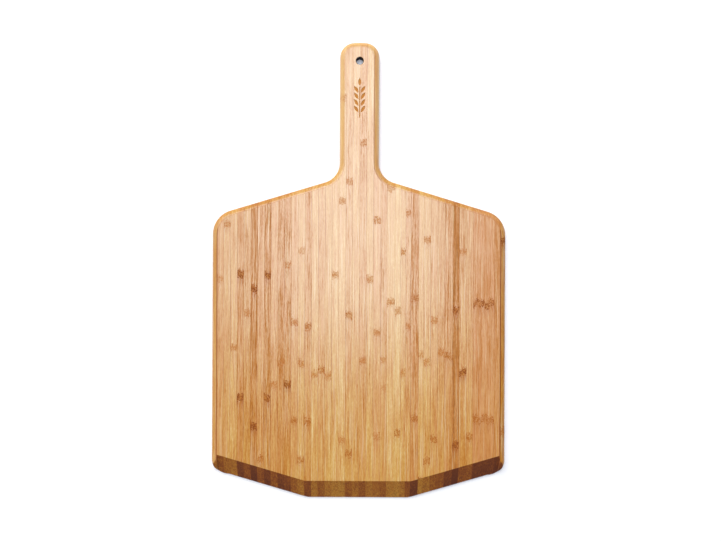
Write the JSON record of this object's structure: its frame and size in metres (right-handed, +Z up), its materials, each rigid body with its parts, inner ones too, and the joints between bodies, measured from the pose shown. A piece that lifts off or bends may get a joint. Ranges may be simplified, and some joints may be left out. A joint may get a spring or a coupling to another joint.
{
  "type": "pizza peel",
  "caption": "Flat pizza peel glued up from upright bamboo strips, with a short handle, rounded edges, a bevelled front and a hanging hole.",
  "frame": {"origin": "centre of the bounding box, on the flat underside that the peel rests on", "axes": "+Y along the peel from the bevelled front edge to the end of the handle, +X to the right across the blade, +Z up out of the top face"},
  "size_m": [0.305, 0.475, 0.012],
  "materials": {
    "pale_bamboo": "sanded and oiled, satin, pale cream strips",
    "honey_bamboo": "sanded and oiled, satin, honey strips",
    "tan_bamboo": "sanded and oiled, satin, tan strips",
    "brown_bamboo": "sanded and oiled, satin, brown strips"
  },
  "bodies": {
    "root": {"left_edge_strip": "honey_bamboo", "left_strip_01": "honey_bamboo", "left_strip_02": "honey_bamboo", "left_strip_03": "pale_bamboo", "left_strip_04": "tan_bamboo", "left_strip_05": "honey_bamboo", "left_strip_06": "brown_bamboo", "left_strip_07": "honey_bamboo", "left_strip_08": "tan_bamboo", "left_strip_09": "honey_bamboo", "left_strip_10": "tan_bamboo", "left_strip_11": "tan_bamboo", "left_strip_12": "honey_bamboo", "left_strip_13": "pale_bamboo", "left_strip_14": "honey_bamboo", "left_strip_15": "pale_bamboo", "left_strip_16": "honey_bamboo", "left_strip_17": "pale_bamboo", "left_strip_18": "pale_bamboo", "handle_strip_1": "pale_bamboo", "handle_strip_2": "honey_bamboo", "handle_strip_3": "pale_bamboo", "handle_strip_4": "honey_bamboo", "handle_strip_5": "pale_bamboo", "handle_strip_6": "pale_bamboo", "right_strip_01": "honey_bamboo", "right_strip_02": "pale_bamboo", "right_strip_03": "pale_bamboo", "right_strip_04": "pale_bamboo", "right_strip_05": "honey_bamboo", "right_strip_06": "tan_bamboo", "right_strip_07": "pale_bamboo", "right_strip_08": "pale_bamboo", "right_strip_09": "honey_bamboo", "right_strip_10": "honey_bamboo", "right_strip_11": "tan_bamboo", "right_strip_12": "brown_bamboo", "right_strip_13": "honey_bamboo", "right_strip_14": "honey_bamboo", "wide_strip": "tan_bamboo", "outer_right_strip": "tan_bamboo", "right_edge_strip": "tan_bamboo"}
  },
  "joints": []
}
